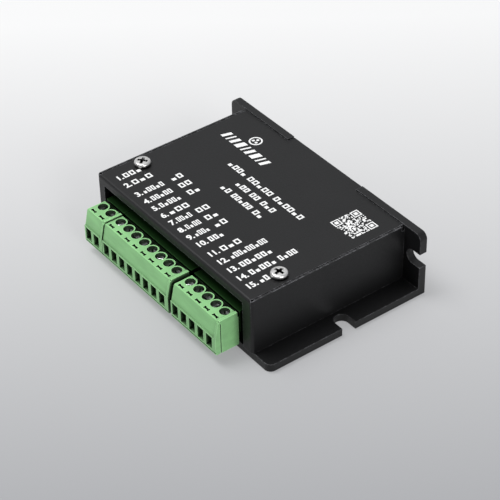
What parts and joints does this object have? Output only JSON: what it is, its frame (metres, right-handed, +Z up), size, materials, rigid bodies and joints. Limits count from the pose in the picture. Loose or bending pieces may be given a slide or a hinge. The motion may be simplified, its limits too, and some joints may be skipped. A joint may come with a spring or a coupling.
{
  "type": "motor driver module",
  "caption": "Flat black brushless motor driver module: L-shaped bracket with open mounting slots, folded cover, and green pluggable screw terminal blocks along one side.",
  "frame": {"origin": "on the underside of the base plate, midway between the two base slots", "axes": "+X along the row of terminals, +Y towards the rear wall, +Z up from the base"},
  "size_m": [0.084, 0.0616, 0.0215],
  "materials": {
    "bracket_paint": "matte black powder coat",
    "cover_paint": "fine-textured matte black powder coat",
    "bright_screw": "nickel plated, slightly satin",
    "dark_screw": "black oxide",
    "post_metal": "turned",
    "terminal_green": "moulded, satin",
    "header_green": "moulded, satin",
    "contact_tin": "tin plated",
    "clamp_steel": "zinc plated",
    "board_green": "solder mask",
    "package_black": "moulded epoxy",
    "capacitor_can": "satin can",
    "ferrite": "shielded inductor",
    "print_white": "screen-printed ink on the cover",
    "pad_grey": "soft thermal pad"
  },
  "bodies": {
    "chassis": {"base_bracket": "bracket_paint", "top_cover": "cover_paint", "cover_screw_left": "bright_screw", "cover_screw_right": "bright_screw", "cover_post_left": "post_metal", "cover_post_right": "post_metal", "board_standoffs": "post_metal", "standoff_screws": "dark_screw", "board_screws": "bright_screw", "circuit_board": "board_green", "header_2p": "header_green", "header_8p": "header_green", "header_5p": "header_green", "header_pins_2p": "contact_tin", "header_pins_8p": "contact_tin", "header_pins_5p": "contact_tin", "bulk_capacitors": "capacitor_can", "power_transistors": "package_black", "thermal_pad": "pad_grey", "microcontroller": "package_black", "gate_driver": "package_black", "power_inductor": "ferrite", "current_shunts": "package_black"},
    "plug_2p": {"plug_body_2p": "terminal_green", "contacts_2p": "contact_tin"},
    "plug_8p": {"plug_body_8p": "terminal_green", "contacts_8p": "contact_tin"},
    "plug_5p": {"plug_body_5p": "terminal_green", "contacts_5p": "contact_tin"},
    "screw_01": {"clamp_screw_01": "clamp_steel"},
    "cage_01": {"clamp_cage_01": "clamp_steel"},
    "screw_02": {"clamp_screw_02": "clamp_steel"},
    "cage_02": {"clamp_cage_02": "clamp_steel"},
    "screw_03": {"clamp_screw_03": "clamp_steel"},
    "cage_03": {"clamp_cage_03": "clamp_steel"},
    "screw_04": {"clamp_screw_04": "clamp_steel"},
    "cage_04": {"clamp_cage_04": "clamp_steel"},
    "screw_05": {"clamp_screw_05": "clamp_steel"},
    "cage_05": {"clamp_cage_05": "clamp_steel"},
    "screw_06": {"clamp_screw_06": "clamp_steel"},
    "cage_06": {"clamp_cage_06": "clamp_steel"},
    "screw_07": {"clamp_screw_07": "clamp_steel"},
    "cage_07": {"clamp_cage_07": "clamp_steel"},
    "screw_08": {"clamp_screw_08": "clamp_steel"},
    "cage_08": {"clamp_cage_08": "clamp_steel"},
    "screw_09": {"clamp_screw_09": "clamp_steel"},
    "cage_09": {"clamp_cage_09": "clamp_steel"},
    "screw_10": {"clamp_screw_10": "clamp_steel"},
    "cage_10": {"clamp_cage_10": "clamp_steel"},
    "screw_11": {"clamp_screw_11": "clamp_steel"},
    "cage_11": {"clamp_cage_11": "clamp_steel"},
    "screw_12": {"clamp_screw_12": "clamp_steel"},
    "cage_12": {"clamp_cage_12": "clamp_steel"},
    "screw_13": {"clamp_screw_13": "clamp_steel"},
    "cage_13": {"clamp_cage_13": "clamp_steel"},
    "screw_14": {"clamp_screw_14": "clamp_steel"},
    "cage_14": {"clamp_cage_14": "clamp_steel"},
    "screw_15": {"clamp_screw_15": "clamp_steel"},
    "cage_15": {"clamp_cage_15": "clamp_steel"}
  },
  "joints": [
    {"name": "plug_2p_pull", "type": "slide", "parent": "chassis", "child": "plug_2p", "axis": [0, -1, 0], "range_m": [0, 0.01]},
    {"name": "plug_8p_pull", "type": "slide", "parent": "chassis", "child": "plug_8p", "axis": [0, -1, 0], "range_m": [0, 0.01]},
    {"name": "plug_5p_pull", "type": "slide", "parent": "chassis", "child": "plug_5p", "axis": [0, -1, 0], "range_m": [0, 0.01]},
    {"name": "screw_01_turn", "type": "hinge", "parent": "plug_2p", "child": "screw_01", "pos_m": [-0.0292, -0.0298, 0.0118], "axis": [0, 0, -1], "range_deg": [0, 1800]},
    {"name": "cage_01_lift", "type": "slide", "parent": "plug_2p", "child": "cage_01", "axis": [0, 0, 1], "range_m": [0, 0.002]},
    {"name": "screw_02_turn", "type": "hinge", "parent": "plug_2p", "child": "screw_02", "pos_m": [-0.02539, -0.0298, 0.0118], "axis": [0, 0, -1], "range_deg": [0, 1800]},
    {"name": "cage_02_lift", "type": "slide", "parent": "plug_2p", "child": "cage_02", "axis": [0, 0, 1], "range_m": [0, 0.002]},
    {"name": "screw_03_turn", "type": "hinge", "parent": "plug_8p", "child": "screw_03", "pos_m": [-0.02036, -0.0298, 0.0118], "axis": [0, 0, -1], "range_deg": [0, 1800]},
    {"name": "cage_03_lift", "type": "slide", "parent": "plug_8p", "child": "cage_03", "axis": [0, 0, 1], "range_m": [0, 0.002]},
    {"name": "screw_04_turn", "type": "hinge", "parent": "plug_8p", "child": "screw_04", "pos_m": [-0.01655, -0.0298, 0.0118], "axis": [0, 0, -1], "range_deg": [0, 1800]},
    {"name": "cage_04_lift", "type": "slide", "parent": "plug_8p", "child": "cage_04", "axis": [0, 0, 1], "range_m": [0, 0.002]},
    {"name": "screw_05_turn", "type": "hinge", "parent": "plug_8p", "child": "screw_05", "pos_m": [-0.01274, -0.0298, 0.0118], "axis": [0, 0, -1], "range_deg": [0, 1800]},
    {"name": "cage_05_lift", "type": "slide", "parent": "plug_8p", "child": "cage_05", "axis": [0, 0, 1], "range_m": [0, 0.002]},
    {"name": "screw_06_turn", "type": "hinge", "parent": "plug_8p", "child": "screw_06", "pos_m": [-0.00893, -0.0298, 0.0118], "axis": [0, 0, -1], "range_deg": [0, 1800]},
    {"name": "cage_06_lift", "type": "slide", "parent": "plug_8p", "child": "cage_06", "axis": [0, 0, 1], "range_m": [0, 0.002]},
    {"name": "screw_07_turn", "type": "hinge", "parent": "plug_8p", "child": "screw_07", "pos_m": [-0.00512, -0.0298, 0.0118], "axis": [0, 0, -1], "range_deg": [0, 1800]},
    {"name": "cage_07_lift", "type": "slide", "parent": "plug_8p", "child": "cage_07", "axis": [0, 0, 1], "range_m": [0, 0.002]},
    {"name": "screw_08_turn", "type": "hinge", "parent": "plug_8p", "child": "screw_08", "pos_m": [-0.00131, -0.0298, 0.0118], "axis": [0, 0, -1], "range_deg": [0, 1800]},
    {"name": "cage_08_lift", "type": "slide", "parent": "plug_8p", "child": "cage_08", "axis": [0, 0, 1], "range_m": [0, 0.002]},
    {"name": "screw_09_turn", "type": "hinge", "parent": "plug_8p", "child": "screw_09", "pos_m": [0.0025, -0.0298, 0.0118], "axis": [0, 0, -1], "range_deg": [0, 1800]},
    {"name": "cage_09_lift", "type": "slide", "parent": "plug_8p", "child": "cage_09", "axis": [0, 0, 1], "range_m": [0, 0.002]},
    {"name": "screw_10_turn", "type": "hinge", "parent": "plug_8p", "child": "screw_10", "pos_m": [0.00631, -0.0298, 0.0118], "axis": [0, 0, -1], "range_deg": [0, 1800]},
    {"name": "cage_10_lift", "type": "slide", "parent": "plug_8p", "child": "cage_10", "axis": [0, 0, 1], "range_m": [0, 0.002]},
    {"name": "screw_11_turn", "type": "hinge", "parent": "plug_5p", "child": "screw_11", "pos_m": [0.01245, -0.0298, 0.0118], "axis": [0, 0, -1], "range_deg": [0, 1800]},
    {"name": "cage_11_lift", "type": "slide", "parent": "plug_5p", "child": "cage_11", "axis": [0, 0, 1], "range_m": [0, 0.002]},
    {"name": "screw_12_turn", "type": "hinge", "parent": "plug_5p", "child": "screw_12", "pos_m": [0.01626, -0.0298, 0.0118], "axis": [0, 0, -1], "range_deg": [0, 1800]},
    {"name": "cage_12_lift", "type": "slide", "parent": "plug_5p", "child": "cage_12", "axis": [0, 0, 1], "range_m": [0, 0.002]},
    {"name": "screw_13_turn", "type": "hinge", "parent": "plug_5p", "child": "screw_13", "pos_m": [0.02007, -0.0298, 0.0118], "axis": [0, 0, -1], "range_deg": [0, 1800]},
    {"name": "cage_13_lift", "type": "slide", "parent": "plug_5p", "child": "cage_13", "axis": [0, 0, 1], "range_m": [0, 0.002]},
    {"name": "screw_14_turn", "type": "hinge", "parent": "plug_5p", "child": "screw_14", "pos_m": [0.02388, -0.0298, 0.0118], "axis": [0, 0, -1], "range_deg": [0, 1800]},
    {"name": "cage_14_lift", "type": "slide", "parent": "plug_5p", "child": "cage_14", "axis": [0, 0, 1], "range_m": [0, 0.002]},
    {"name": "screw_15_turn", "type": "hinge", "parent": "plug_5p", "child": "screw_15", "pos_m": [0.02769, -0.0298, 0.0118], "axis": [0, 0, -1], "range_deg": [0, 1800]},
    {"name": "cage_15_lift", "type": "slide", "parent": "plug_5p", "child": "cage_15", "axis": [0, 0, 1], "range_m": [0, 0.002]}
  ],
  "couplings": [
    {"joint": "screw_01_turn", "follows": "cage_01_lift", "rad_per_m": 15708},
    {"joint": "screw_02_turn", "follows": "cage_02_lift", "rad_per_m": 15708},
    {"joint": "screw_03_turn", "follows": "cage_03_lift", "rad_per_m": 15708},
    {"joint": "screw_04_turn", "follows": "cage_04_lift", "rad_per_m": 15708},
    {"joint": "screw_05_turn", "follows": "cage_05_lift", "rad_per_m": 15708},
    {"joint": "screw_06_turn", "follows": "cage_06_lift", "rad_per_m": 15708},
    {"joint": "screw_07_turn", "follows": "cage_07_lift", "rad_per_m": 15708},
    {"joint": "screw_08_turn", "follows": "cage_08_lift", "rad_per_m": 15708},
    {"joint": "screw_09_turn", "follows": "cage_09_lift", "rad_per_m": 15708},
    {"joint": "screw_10_turn", "follows": "cage_10_lift", "rad_per_m": 15708},
    {"joint": "screw_11_turn", "follows": "cage_11_lift", "rad_per_m": 15708},
    {"joint": "screw_12_turn", "follows": "cage_12_lift", "rad_per_m": 15708},
    {"joint": "screw_13_turn", "follows": "cage_13_lift", "rad_per_m": 15708},
    {"joint": "screw_14_turn", "follows": "cage_14_lift", "rad_per_m": 15708},
    {"joint": "screw_15_turn", "follows": "cage_15_lift", "rad_per_m": 15708}
  ]
}
